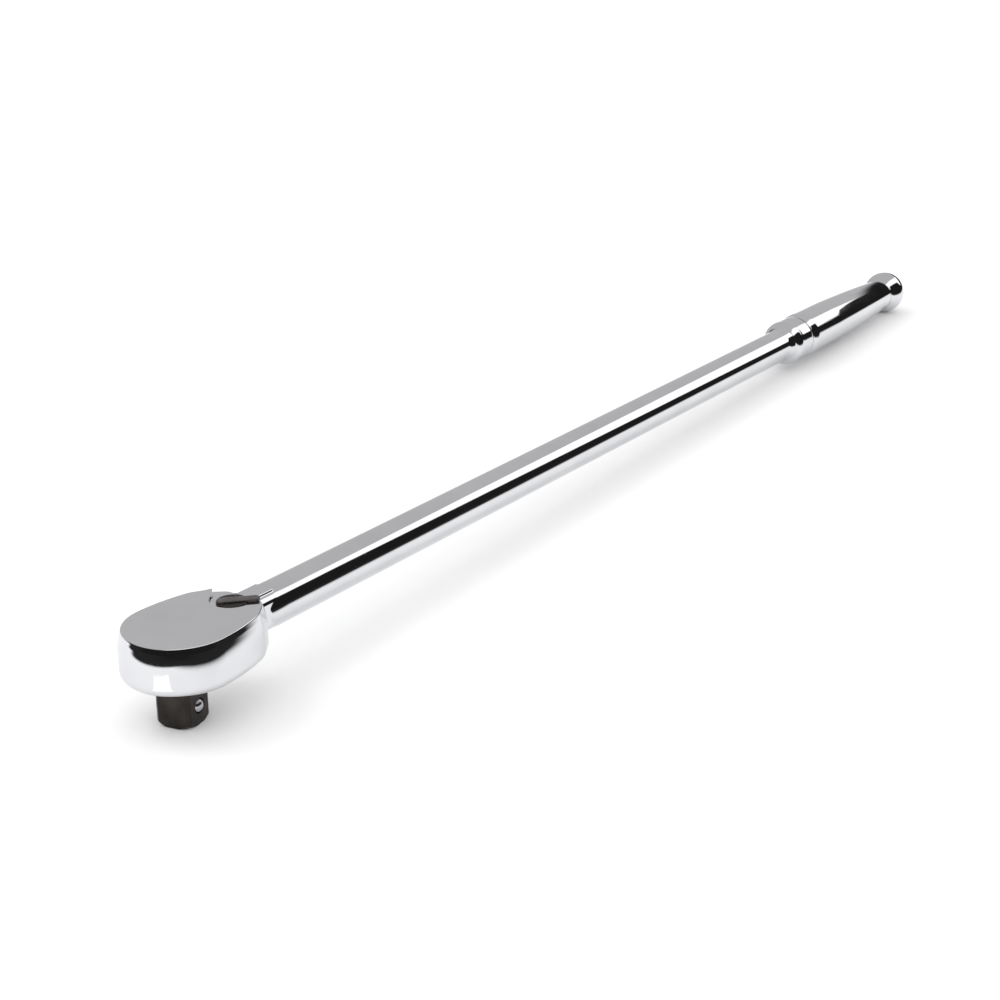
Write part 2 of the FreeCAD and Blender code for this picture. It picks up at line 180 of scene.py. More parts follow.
def flat(bm, loops):
    # a flat face bounded by closed loops of vertices: the outside first, then any holes
    edges = []
    for loop in loops:
        for a, b in zip(loop, loop[1:] + loop[:1]):
            edge = bm.edges.get((a, b)) or bm.edges.new((a, b))
            edge.smooth = False
            edges.append(edge)
    if len(loops) == 1:
        face = bm.faces.new(loops[0])
        face.smooth = False
        return
    made = bmesh.ops.triangle_fill(bm, use_beauty=True, use_dissolve=False, edges=edges)
    for face in [g for g in made["geom"] if isinstance(g, bmesh.types.BMFace)]:
        face.smooth = False


def smoothSides(bm):
    for face in bm.faces:
        if len(face.verts) <= 4:
            face.smooth = True


def finishMesh(bm, name, body, slot, material, *nodes):
    bmesh.ops.recalc_face_normals(bm, faces=bm.faces)
    mesh = bpy.data.meshes.new(name)
    bm.to_mesh(mesh)
    bm.free()
    mesh.materials.append(material)
    piece = bpy.data.objects.new(name, mesh)
    bpy.context.scene.collection.objects.link(piece)
    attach(piece, body)
    if nodes:
        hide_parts(*nodes)
    print("made", name, len(mesh.polygons), "faces")
    return piece


def newMaterial(name, roughness, metallic=1.0):
    material = bpy.data.materials.new(name)
    material.use_nodes = True
    shader = material.node_tree.nodes["Principled BSDF"]
    shader.inputs["Metallic"].default_value = metallic
    shader.inputs["Roughness"].default_value = roughness
    return material, material.node_tree.nodes, material.node_tree.links, shader


def noise(nodes, links, scale, detail, stretch=(1, 1, 1)):
    # noise fixed to the object, stretched along an axis for brush lines
    place = nodes.new("ShaderNodeTexCoord")
    mapping = nodes.new("ShaderNodeMapping")
    mapping.inputs["Scale"].default_value = stretch
    texture = nodes.new("ShaderNodeTexNoise")
    texture.inputs["Scale"].default_value = scale
    texture.inputs["Detail"].default_value = detail
    links.new(place.outputs["Object"], mapping.inputs["Vector"])
    links.new(mapping.outputs["Vector"], texture.inputs["Vector"])
    return texture


def ramp(nodes, links, source, stops):
    made = nodes.new("ShaderNodeValToRGB")
    elements = made.color_ramp.elements
    while len(elements) < len(stops):
        elements.new(0.5)
    for element, (place, colour) in zip(elements, stops):
        element.position = place
        element.color = (*colour, 1.0)
    links.new(source, made.inputs["Fac"])
    return made.outputs["Color"]


def spread(nodes, links, source, low, high):
    made = nodes.new("ShaderNodeMapRange")
    made.inputs["To Min"].default_value = low
    made.inputs["To Max"].default_value = high
    links.new(source, made.inputs["Value"])
    return made.outputs["Result"]


def bump(nodes, links, source, strength, distance):
    made = nodes.new("ShaderNodeBump")
    made.inputs["Strength"].default_value = strength
    made.inputs["Distance"].default_value = distance
    links.new(source, made.inputs["Height"])
    return made


def chromeMaterial():
    # polished plate: faint cloudy smears, hair-fine buffing lines and a slightly cool tone
    look = {"dark": (0.80, 0.805, 0.82), "light": (0.86, 0.865, 0.875), "roughness": (0.035, 0.085)}
    material, nodes, links, shader = newMaterial("polishedChrome", 0.05)
    smear = noise(nodes, links, 55, 5)
    lines = noise(nodes, links, 900, 3, (0.03, 1, 1))
    colour = ramp(nodes, links, smear.outputs["Fac"], [(0.3, look["dark"]), (0.7, look["light"])])
    links.new(colour, shader.inputs["Base Color"])
    mix = nodes.new("ShaderNodeMath")
    mix.operation = "MULTIPLY"
    links.new(smear.outputs["Fac"], mix.inputs[0])
    links.new(lines.outputs["Fac"], mix.inputs[1])
    rough = nodes.new("ShaderNodeMapRange")
    rough.inputs["From Min"].default_value = 0.15
    rough.inputs["From Max"].default_value = 0.4
    rough.inputs["To Min"].default_value = look["roughness"][0]
    rough.inputs["To Max"].default_value = look["roughness"][1]
    links.new(mix.outputs["Value"], rough.inputs["Value"])
    links.new(rough.outputs["Result"], shader.inputs["Roughness"])
    links.new(bump(nodes, links, lines.outputs["Fac"], 0.02, 0.0002).outputs["Normal"], shader.inputs["Normal"])
    return material


def blackOxideMaterial(name, look):
    # satin black-brown finish, a little rubbed, with fine ground texture
    material, nodes, links, shader = newMaterial(name, 0.34, 0.75)
    blotch = noise(nodes, links, 140, 6)
    grain = noise(nodes, links, 1800, 4, (1, 1, 0.15))
    colour = ramp(nodes, links, blotch.outputs["Fac"], [(0.3, look["dark"]), (0.72, look["light"])])
    links.new(colour, shader.inputs["Base Color"])
    links.new(spread(nodes, links, grain.outputs["Fac"], *look["roughness"]), shader.inputs["Roughness"])
    links.new(bump(nodes, links, grain.outputs["Fac"], 0.12, 0.0001).outputs["Normal"], shader.inputs["Normal"])
    return material


def steelMaterial(name, dark, light, roughness, scale):
    # ground or hardened steel with a fine grain
    material, nodes, links, shader = newMaterial(name, roughness)
    grain = noise(nodes, links, scale, 5, (1, 1, 0.3))
    colour = ramp(nodes, links, grain.outputs["Fac"], [(0.3, dark), (0.7, light)])
    links.new(colour, shader.inputs["Base Color"])
    rough = spread(nodes, links, grain.outputs["Fac"], roughness * 0.7, roughness * 1.4)
    links.new(rough, shader.inputs["Roughness"])
    links.new(bump(nodes, links, grain.outputs["Fac"], 0.06, 0.0001).outputs["Normal"], shader.inputs["Normal"])
    return material


def rubberMaterial():
    material, nodes, links, shader = newMaterial("sealRubber", 0.7, 0.0)
    grain = noise(nodes, links, 1500, 4)
    stops = [(0.3, (0.012, 0.012, 0.012)), (0.7, (0.035, 0.034, 0.033))]
    colour = ramp(nodes, links, grain.outputs["Fac"], stops)
    links.new(colour, shader.inputs["Base Color"])
    links.new(bump(nodes, links, grain.outputs["Fac"], 0.3, 0.0001).outputs["Normal"], shader.inputs["Normal"])
    return material


oxideLook = {"dark": (0.018, 0.016, 0.014), "light": (0.055, 0.047, 0.040), "roughness": (0.26, 0.42)}
handledLook = {"dark": (0.10, 0.092, 0.088), "light": (0.19, 0.178, 0.17), "roughness": (0.12, 0.24)}
handledOxide = blackOxideMaterial("handledOxide", handledLook)      # the lever, polished by use
finishes = {
    "polished_chrome": chromeMaterial(),
    "black_oxide": blackOxideMaterial("blackOxide", oxideLook),
    "bright_steel": steelMaterial("brightSteel", (0.52, 0.52, 0.53), (0.7, 0.7, 0.71), 0.2, 700),
    "dark_steel": steelMaterial("darkSteel", (0.12, 0.115, 0.11), (0.24, 0.23, 0.22), 0.36, 500),
    "seal_rubber": rubberMaterial(),
}
slotOf = {part["node"]: part["material_slot"] for part in frame["record"]["subparts"]}
for nodeName, nodeObject in frame["nodes"].items():
    nodeObject.data.materials.clear()
    nodeObject.data.materials.append(finishes[slotOf[nodeName]])
print("materials assigned")


def halfOutline():
    # the head's top outline on one side, from the middle of the rear round to the nose
    shape = headShape
    centre, radius, sideRadius = shape["centreX"], shape["noseRadius"], shape["sideRadius"]
    drop = sideRadius - math.sqrt(sideRadius ** 2 - (shape["shoulderX"] - centre) ** 2)
    middleX = (centre + shape["shoulderX"]) / 2
    middleDrop = sideRadius - math.sqrt(sideRadius ** 2 - (middleX - centre) ** 2)
    shoulder = (shape["shoulderX"], radius - drop)
    rear, tail = shape["rear"], shape["tail"]
    side = arcPoints(shoulder, (middleX, radius - middleDrop), (centre, radius), 60)
    line = [(rear[0], 0.0)]
    line += rounded((rear[0], 0.0), rear, tail, 2.4)
    line += rounded(rear, tail, shoulder, shape["tailRound"])
    line += rounded(tail, shoulder, side[8], shape["shoulderRound"])
    line += side[6:]
    quarter = radius * math.sqrt(0.5)
    line += arcPoints((centre, radius), (centre - quarter, quarter), (centre - radius, 0.0), 60)[1:]
    return evenly(line, shape["stations"])


def sideOffset(z):
    # how far the side stands out from the top outline at a height
    shape = headShape
    slope = shape["bulge"] / (shape["above"] - shape["bulgeZ"])
    start, end = shape["bulgeZ"] - shape["bulgeBlend"], shape["bulgeZ"] + shape["bulgeBlend"]
    if z <= start:
        return shape["bulge"]
    if z >= end:
        return slope * (shape["above"] - z)
    return shape["bulge"] - slope * (z - start) ** 2 / (4 * shape["bulgeBlend"])


def sideRows(top, bevel):
    # the side's profile as (offset, height) from a top face down to the bottom one
    shape = headShape
    rows = []
    for step in range(5):
        t = math.radians(90 * step / 4)
        rows.append((sideOffset(top) - bevel * (1 - math.sin(t)), top - bevel * (1 - math.cos(t))))
    bottom = -shape["below"] + shape["bottomRound"]
    shared = [recessShape["floor"] - 0.35 - (recessShape["floor"] - 0.35 - bottom) * i / 22 for i in range(23)]
    rows += [(sideOffset(z), z) for z in shared]
    for step in range(1, 13):
        t = math.radians(90 * step / 12)
        r = shape["bottomRound"]
        rows.append((shape["bulge"] - r * (1 - math.cos(t)), bottom - r * math.sin(t)))
    return rows


def recessLine(far, near):
    # the recess's contour from the outline's end on the +Y side round to the other
    shape = recessShape
    turn = 90 + shape["flareAngle"] / 4
    a = math.radians(shape["flareAngle"])
    arc = [math.radians(turn + (360 - 2 * turn) * i / 40) for i in range(41)]
    curve = [(shape["centreX"] + shape["radius"] * math.cos(t), shape["radius"] * math.sin(t)) for t in arc]
    return evenly([far, curve[0]], 12)[:-1] + curve + evenly([curve[-1], near], 12)[1:]


def insideHull(x, y, r1, x2, r2):
    # within the outline round two circles, which is the cover's shape
    c = (r1 - r2) / x2
    s = math.sqrt(1 - c * c)
    y = abs(y)
    along = x * s - y * c
    if along < 0:
        return math.hypot(x, y) <= r1
    if along > x2 * s:
        return math.hypot(x - x2, y) <= r2
    return x * c + y * s <= r1


def hullPoint(angle, r1, x2, r2, middle=8.0):
    low, high = 0.0, 60.0
    for _ in range(30):
        reach = (low + high) / 2
        if insideHull(middle + reach * math.cos(angle), reach * math.sin(angle), r1, x2, r2):
            low = reach
        else:
            high = reach
    return middle + low * math.cos(angle), low * math.sin(angle)


coverShape = {
    "frontRadius": 14.4,
    "rearX": 19.5,
    "rearRadius": 10.2,
    "thickness": 2.4,
    "gap": 0.08,
    "journal": 9.06,
    "screwPitch": 7.6,
    "screwAngle": 75.0,
    "screwHead": 2.25,
    "sealOuter": 10.2,
    "sealInset": 0.55,
    "pinX": 16.6,
    "pinRadius": 1.25,
    "pinSeat": 1.6,
}


def addHead(bm):
    half = halfOutline()
    outline = half[:-1] + [(x, -y) for x, y in reversed(half)][:-1]
    normals = outward(outline)
    count = len(outline)
    tailX = headShape["tail"][0] + 0.1
    high = [i for i in range(count) if outline[i][0] <= tailX]

    def column(i, rows):
        (x, y), n = outline[i], normals[i]
        return [lift(x + n.x * d, y + n.y * d, z) for d, z in rows]

    lowRows = sideRows(recessShape["floor"], 0.12)
    shared = 5     # the rows from here down are the same all round

    def upperColumn(k):
        # the top edge's rounding dies out where the raised part ends
        ends = min(k, len(high) - 1 - k)
        rows = sideRows(headShape["above"], headShape["topBevel"] * min(1.0, 0.05 + ends / 8))[:shared]
        if ends == 0:
            rows[0] = (0.0, headShape["above"])
        return [bm.verts.new(p) for p in column(high[k], rows)]

    lowColumns = [[bm.verts.new(p) for p in column(i, lowRows)] for i in range(count)]
    lowSet = [i for i in range(count) if i not in set(high)]
    body = [[lowColumns[i][r] for i in range(count)] for r in range(shared, len(lowRows))]
    strip(bm, body)
    # the raised part's own upper rows
    upper = [upperColumn(k) for k in range(len(high))]
    rows = [[col[r] for col in upper] for r in range(shared)] + [[lowColumns[i][shared] for i in high]]
    strip(bm, rows, closed=False)
    # the low part's upper rows, at the tail and rear
    ring = [high[-1]] + [i for i in lowSet if i > high[-1]] + [i for i in lowSet if i < high[0]] + [high[0]]
    rows = [[lowColumns[i][r] for i in ring] for r in range(shared + 1)]
    strip(bm, rows, closed=False)
    spare = [v for i in high[1:-1] for v in lowColumns[i][:shared]]
    bmesh.ops.delete(bm, geom=spare, context="VERTS")
    # the recess's wall, from the top face down to the floor
    line = recessLine(outline[high[0]], outline[high[-1]])
    sides = []
    for i in range(len(line)):
        a, b = line[max(i - 1, 0)], line[min(i + 1, len(line) - 1)]
        sides.append(Vector((a[1] - b[1], b[0] - a[0])).normalized())
    top, floor = headShape["above"], recessShape["floor"]
    edge, foot = recessShape["edge"], recessShape["foot"]
    profile = [(-edge, top), (-edge * 0.4, top - edge * 0.1), (-edge * 0.1, top - edge * 0.4), (0, top - edge)]
    profile += [(0, floor + foot), (foot * 0.3, floor + foot * 0.3), (foot, floor)]
    wall = []
    for d, z in profile:
        row = []
        for k, ((x, y), n) in enumerate(zip(line, sides)):
            reach = d * min(1.0, 0.05 + min(k, len(line) - 1 - k) / 4)
            row.append(bm.verts.new(lift(x + n.x * reach, y + n.y * reach, z)))
        wall.append(row)
    for corner, end in ((0, 0), (-1, -1)):
        bm.verts.remove(wall[0][corner])
        wall[0][corner] = upper[end][0]
    strip(bm, wall, closed=False)
    flat(bm, [[col[0] for col in upper] + wall[0][-2:0:-1]])
    flat(bm, [[lowColumns[i][0] for i in ring] + wall[-1]])
    # the bottom's rim, the step that the cover sits in and its floor
    lowest = body[-1]
    cover = coverShape
    angles = [math.atan2(v.co.y, v.co.x - 8.0 * mm) for v in lowest]
    r1, r2 = cover["frontRadius"] + cover["gap"], cover["rearRadius"] + cover["gap"]
    step = [hullPoint(a, r1, cover["rearX"], r2) for a in angles]
    rim = [bm.verts.new(lift(x, y, -headShape["below"])) for x, y in step]
    seat = [bm.verts.new(lift(x, y, -headShape["below"] + cover["thickness"])) for x, y in step]
    strip(bm, [lowest, rim])
    strip(bm, [rim, seat])
    flat(bm, [seat])


def profilePoints():
    # the shaft, ring, grip and ball as (x, radius)
    shape = gripShape
    gripStart = shape["ringEnd"] + shape["grooveWidth"]
    fullX = gripStart + shape["fullLength"]
    ballX = handleEnd - shape["ballRadius"]
    meetX = ballX - math.sqrt(shape["ballRadius"] ** 2 - shape["neckRadius"] ** 2)
    rise = shape["ringRadius"] - shape["shaftRadiusGrip"]
    start = shape["ringStart"]
    x0 = neckShape["endX"] + neckShape["shoulderLength"]
    points = evenly([(x0 + 0.6, shape["shaftRadiusHead"]), (start, shape["shaftRadiusGrip"])], 60)
    points += arcPoints((start, shape["shaftRadiusGrip"]),
                        (start + shape["ringFront"] * 0.3, shape["ringRadius"] - rise * 0.3),
                        (start + shape["ringFront"], shape["ringRadius"]), 14)[1:]
    points += evenly([points[-1], (shape["ringEnd"], shape["ringRadius"])], 8)[1:]
    groove = (shape["ringEnd"] + shape["grooveWidth"] / 2, shape["ringRadius"] - shape["grooveDepth"])
    points += arcPoints(points[-1], groove, (gripStart, shape["radius"]), 14)[1:]
    points += evenly([points[-1], (fullX, shape["radius"])], 12)[1:]
    waist = ((fullX + meetX) / 2, shape["middleRadius"])
    points += arcPoints(points[-1], waist, (meetX, shape["neckRadius"]), 40)[1:]
    startAngle = math.atan2(shape["neckRadius"], meetX - ballX)
    for i in range(1, 41):
        t = startAngle * (1 - i / 40)
        points.append((ballX + shape["ballRadius"] * math.cos(t), shape["ballRadius"] * math.sin(t)))
    return points


def softMax(a, b, blend):
    return (a + b + math.sqrt((a - b) ** 2 + blend ** 2)) / 2


def softMin(a, b, blend):
    return (a + b - math.sqrt((a - b) ** 2 + blend ** 2)) / 2


def neckRadiusAt(x, angle):
    # the neck's section in polar form: a round with hollowed sides, a flat land, and the shaft's shoulder
    shape = neckShape
    c, s = abs(math.cos(angle)), math.sin(angle)
    begin, end = headShape["rear"][0], shape["endX"]
    t = min(max((x - begin) / (end - 4 - begin), 0.0), 1.0)
    half = shape["halfWidth"] + (shape["startHalfWidth"] - shape["halfWidth"]) * (1 - t) ** 2
    land = shape["landHalfWidth"] + 1.6 * (1 - t) ** 2
    floor = recessShape["floor"]
    far = 60.0
    core = softMin(shape["radius"], half / c if c > 0.01 else far, shape["blend"])
    slab = floor / s if s > 0.01 else far
    if s > 0:
        core = min(core, slab)
        block = min(land / c if c > 0.01 else far, slab)
        core = max(core, block) if block >= slab - 1e-9 else softMax(core, block, shape["blend"] * 0.6)
        core = min(core, slab)
    # the shoulder where the full round begins, with the land cut into its top
    full = gripShape["shaftRadiusHead"]
    u = min(max((x - end) / shape["shoulderLength"], 0.0), 1.0)
    if u == 0:
        return core
    shoulder = shape["halfWidth"] + (full - shape["halfWidth"]) * math.sqrt(1 - (1 - u) ** 2)
    past = x - shape["landEnd"]
    if past > 0:
        return min(shoulder, (floor + past) / s) if s > 0 else shoulder
    return min(max(core, shoulder), slab) if s > 0 else max(core, shoulder)


def addShaft(bm):
    sides = gripShape["sides"]
    angles = [2 * math.pi * i / sides for i in range(sides)]
    beginX = headShape["rear"][0] + sideOffset(recessShape["floor"])
    endX = neckShape["endX"] + neckShape["shoulderLength"]
    places = [beginX + (endX + 0.4 - beginX) * i / 56 for i in range(57)]
    rows = []
    for x in places:
        ring = [(t, neckRadiusAt(x, t)) for t in angles]
        rows.append([bm.verts.new(lift(x, r * math.cos(t), r * math.sin(t))) for t, r in ring])
    for x, r in profilePoints()[:-1]:
        rows.append([bm.verts.new(lift(x, r * math.cos(t), r * math.sin(t))) for t in angles])
    strip(bm, rows)
    tip = bm.verts.new(lift(handleEnd, 0, 0))
    last = rows[-1]
    for i in range(sides):
        bm.faces.new((last[i], last[(i + 1) % sides], tip))


def makeHandle():
    bm = bmesh.new()
    addHead(bm)
    addShaft(bm)
    smoothSides(bm)
    slot = slotOf["handle_forging"]
    finishMesh(bm, "handleBody", "handle", slot, finishes[slot], "handle_forging")


makeHandle()


def circle(x, y, radius, count=48):
    turns = [2 * math.pi * i / count for i in range(count)]
    return [(x + radius * math.cos(t), y + radius * math.sin(t)) for t in turns]


leverShape = {
    "pivotX": 25.0,
    "rest": -43.0,
    "floor": 7.16,
    "hubRadius": 5.2,
    "hubTop": 7.61,
    "armHalfWidth": 1.7,
    "reach": 9.0,
    "tail": 3.4,
    "armTop": 8.2,
    "edge": 0.3,
    "spindleRadius": 3.2,
    "spindleLow": -5.65,
}


def leverPlace(x, y, z):
    # from millimetres about the lever's pivot, turned to its rest angle
    a = math.radians(leverShape["rest"])
    return lift(leverShape["pivotX"] + x * math.cos(a) - y * math.sin(a), x * math.sin(a) + y * math.cos(a), z)


def slab(bm, outline, low, high, edge, place):
    # an upright block on an outline, with its top edge rounded
    normals = outward(outline)
    profile = [(0, low), (0, high - edge), (-edge * 0.1, high - edge * 0.6), (-edge * 0.4, high - edge * 0.1)]
    profile.append((-edge, high))
    rows = []
    for d, z in profile:
        rows.append([bm.verts.new(place(x + n.x * d, y + n.y * d, z)) for (x, y), n in zip(outline, normals)])
    strip(bm, rows)
    flat(bm, [rows[-1]])
    flat(bm, [rows[0]])


def makeLever():
    shape = leverShape
    w, reach, tail = shape["armHalfWidth"], shape["reach"], shape["tail"]
    bm = bmesh.new()
    turns = [math.pi * i / 24 for i in range(25)]
    arm = [(-tail - w * math.sin(t), w * math.cos(t)) for t in turns]
    arm += [(reach - w + w * math.sin(t), -w * math.cos(t)) for t in turns]
    slab(bm, arm, shape["floor"], shape["armTop"], shape["edge"], leverPlace)
    spindle = circle(0, 0, shape["spindleRadius"], 64)
    slab(bm, spindle, shape["spindleLow"], shape["floor"] + 0.1, 0.1, leverPlace)
    smoothSides(bm)
    slot = slotOf["reversing_lever"]
    finishMesh(bm, "leverBody", "lever", slot, handledOxide, "reversing_lever")
    disc = bmesh.new()
    slab(disc, circle(0, 0, shape["hubRadius"], 96), shape["floor"], shape["hubTop"], 0.15, leverPlace)
    for face in disc.faces:
        face.smooth = len(face.verts) == 4
    finishMesh(disc, "leverDisc", "lever", slot, finishes[slot], "reversing_lever")


makeLever()


def makeCover():
    # the plate, with the journal's hole and its seal groove, the screws' holes and the pin's seat
    shape = coverShape
    low = -headShape["below"]
    high = low + shape["thickness"]
    bm = bmesh.new()

    def loop(points, z):
        return [bm.verts.new(lift(x, y, z)) for x, y in points]

    count = 200
    outline = [hullPoint(2 * math.pi * i / count, shape["frontRadius"], shape["rearX"], shape["rearRadius"])
               for i in range(count)]
    tops, bottoms = [loop(outline, high)], [loop(outline, low)]
    strip(bm, [bottoms[0], tops[0]])
    hole, groove = shape["journal"], shape["sealOuter"]
    sealLow, sealHigh = low + shape["sealInset"], high - shape["sealInset"]
    profile = [(hole, low), (hole, sealLow), (groove, sealLow)]
    profile += [(groove, sealHigh), (hole, sealHigh), (hole, high)]
    rows = [loop(circle(0, 0, r, 96), z) for r, z in profile]
    strip(bm, rows)
    bottoms.append(rows[0])
    tops.append(rows[-1])
    for side in (1, -1):
        a = math.radians(side * shape["screwAngle"])
        x, y = shape["rearX"] + shape["screwPitch"] * math.cos(a), shape["screwPitch"] * math.sin(a)
        rows = [loop(circle(x, y, shape["screwHead"] + 0.03), z) for z in (low, high)]
        strip(bm, rows)
        bottoms.append(rows[0])
        tops.append(rows[-1])
    rows = [loop(circle(shape["pinX"], 0, shape["pinRadius"], 24), z) for z in (high - shape["pinSeat"], high)]
    strip(bm, rows)
    flat(bm, [rows[0]])
    tops.append(rows[1])
    for face in bm.faces:
        face.smooth = len(face.verts) == 4
    flat(bm, tops)
    flat(bm, bottoms)
    slot = slotOf["cover_plate"]
    finishMesh(bm, "coverBody", "handle", slot, finishes[slot], "cover_plate")


makeCover()


def makeBall():
    low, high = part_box("detent_ball")
    bm = bmesh.new()
    bmesh.ops.create_uvsphere(bm, u_segments=64, v_segments=32, radius=(high.z - low.z) / 2)
    bmesh.ops.translate(bm, vec=(low + high) / 2, verts=bm.verts)
    for face in bm.faces:
        face.smooth = True
    slot = slotOf["detent_ball"]
    finishMesh(bm, "ballBody", "detent", slot, finishes[slot], "detent_ball")


makeBall()


def softenEdges(name, width):
    # welds a carried-over node's seams and rounds its sharp edges
    node = frame["nodes"][name]
    weld = node.modifiers.new("weld", "WELD")
    weld.merge_threshold = 0.000001
    bevel = node.modifiers.new("edges", "BEVEL")
    bevel.width = width * mm
    bevel.segments = 2
    bevel.limit_method = "ANGLE"
    bevel.angle_limit = math.radians(35)


softenEdges("drive_gear", 0.12)
softenEdges("cover_screws", 0.06)


def flatCard(name, corners, material):
    mesh = bpy.data.meshes.new(name)
    mesh.from_pydata(corners, [], [(0, 1, 2, 3)])
    mesh.materials.append(material)
    card = bpy.data.objects.new(name, mesh)
    bpy.context.scene.collection.objects.link(card)
    return card


def onlyReflected(piece):
    piece.visible_camera = False
    piece.visible_diffuse = False
    piece.visible_shadow = False
    piece.visible_transmission = False


floorSetting = {
    "size": 7.0,
    "dark": (0.9, 0.9, 0.9),
    "light": (0.91, 0.91, 0.91),
    "sheetPaintedShade": (0.015, 0.015, 0.015),
    "sheetLight": (0.76, 0.76, 0.77),
    "nearFade": (-0.15, -0.055),
    "leftFade": (-0.17, -0.11),
}
ballLow = axisZ - gripShape["ballRadius"]
ballPlace = handleEnd - gripShape["ballRadius"]
floorSlope = ballLow / ballPlace         # the tool rests on the drive's end and on the ball


def mathNode(nodes, links, operation, first, second=None):
    made = nodes.new("ShaderNodeMath")
    made.operation = operation
    for socket, value in zip(made.inputs, (first, second)):
        if isinstance(value, (int, float)):
            socket.default_value = value
        elif value is not None:
            links.new(value, socket)
    return made.outputs["Value"]


def fadeIn(nodes, links, value, low, high):
    # 0 below the low end, 1 above the high end
    made = nodes.new("ShaderNodeMapRange")
    made.interpolation_type = "SMOOTHSTEP"
    made.inputs["From Min"].default_value = low
    made.inputs["From Max"].default_value = high
    links.new(value, made.inputs["Value"])
    return made.outputs["Result"]


def makeFloor():
    # the floor that is seen, and a sheet that only the polish reflects, with painted shade that darkens it away
    # from the tool
    reach = floorSetting["size"]
    seen, nodes, links, shader = newMaterial("paleFloor", 0.9, 0.0)
    shader.inputs["Specular IOR Level"].default_value = 0.0
    fine = noise(nodes, links, 30, 4)
    stops = [(0.2, floorSetting["dark"]), (0.8, floorSetting["light"])]
    links.new(ramp(nodes, links, fine.outputs["Fac"], stops), shader.inputs["Base Color"])
    signs = ((-1, -1), (1, -1), (1, 1), (-1, 1))
    corners = [(sx * reach, sy * reach, sx * reach * floorSlope - 0.0001) for sx, sy in signs]
    floor = flatCard("floor", corners, seen)
    floor.visible_glossy = False
    paintedShadeMaterial, nodes, links, shader = newMaterial("paintedShadeSheet", 0.9, 0.0)
    shader.inputs["Specular IOR Level"].default_value = 0.0
    place = nodes.new("ShaderNodeTexCoord")
    split = nodes.new("ShaderNodeSeparateXYZ")
    links.new(place.outputs["Object"], split.inputs["Vector"])
    # painted shade: the sheet fades to nearly black towards the near side and past the head's nose, so the
    # polish reflects dark there
    near = fadeIn(nodes, links, split.outputs["Y"], *floorSetting["nearFade"])
    left = fadeIn(nodes, links, split.outputs["X"], *floorSetting["leftFade"])
    lit = mathNode(nodes, links, "MULTIPLY", near, left)
    colour = ramp(nodes, links, lit, [(0.0, floorSetting["sheetPaintedShade"]), (1.0, floorSetting["sheetLight"])])
    links.new(colour, shader.inputs["Base Color"])
    sheet = flatCard("paintedShadeSheet", [Vector(c) + Vector((0, 0, 0.00005)) for c in corners], paintedShadeMaterial)
    onlyReflected(sheet)


highlightCardSetting = {"place": (-53.3, -12.0), "size": (24.0, 28.0), "turn": 3.4, "strength": 1.25}


def makeHighlightCard():
    # a small glowing card on the sheet that only the polish reflects: a painted highlight, the bright patch on
    # the head's side wall
    material = bpy.data.materials.new("paintedHighlightCard")
    material.use_nodes = True
    nodes, links = material.node_tree.nodes, material.node_tree.links
    nodes.clear()
    glow = nodes.new("ShaderNodeEmission")
    glow.inputs["Strength"].default_value = highlightCardSetting["strength"]
    output = nodes.new("ShaderNodeOutputMaterial")
    links.new(glow.outputs["Emission"], output.inputs["Surface"])
    turn = math.radians(highlightCardSetting["turn"])
    wide, deep = highlightCardSetting["size"]
    corners = []
    for a, b in ((-1, -1), (1, -1), (1, 1), (-1, 1)):
        u, v = a * wide / 2, b * deep / 2
        x = highlightCardSetting["place"][0] + u * math.cos(turn) - v * math.sin(turn)
        y = highlightCardSetting["place"][1] + u * math.sin(turn) + v * math.cos(turn)
        corners.append((x * mm, y * mm, 0.0002))
    card = flatCard("paintedHighlightCard", corners, material)
    onlyReflected(card)


# the levels and edges of the painted reflections on the shell that only the polish sees
roomSetting = {
    "grey": 0.5,            # the backdrop behind and overhead
    "white": 1.35,          # the long softbox on the near side
    "black": 0.012,         # the dark room behind the camera
    "softboxLow": (46.0, 27.0),     # its lower edge, in degrees, towards the head and towards the ball
    "softboxHigh": (69.0, 79.0),    # its upper edge
    "along": (0.69, 0.88),
    "endAlong": 0.937,
    "endBlur": 0.006,
    "endRise": (-0.14, -0.06),
    "narrowFrom": 0.895,
    "narrowing": 52.0,      # how far the softbox's lower edge rises at its end, to a point
    "aheadAlong": (0.3, 0.5),
    "aheadRise": (0.25, 0.4),
    "size": 6.0,
    "edge": 2.2,
}


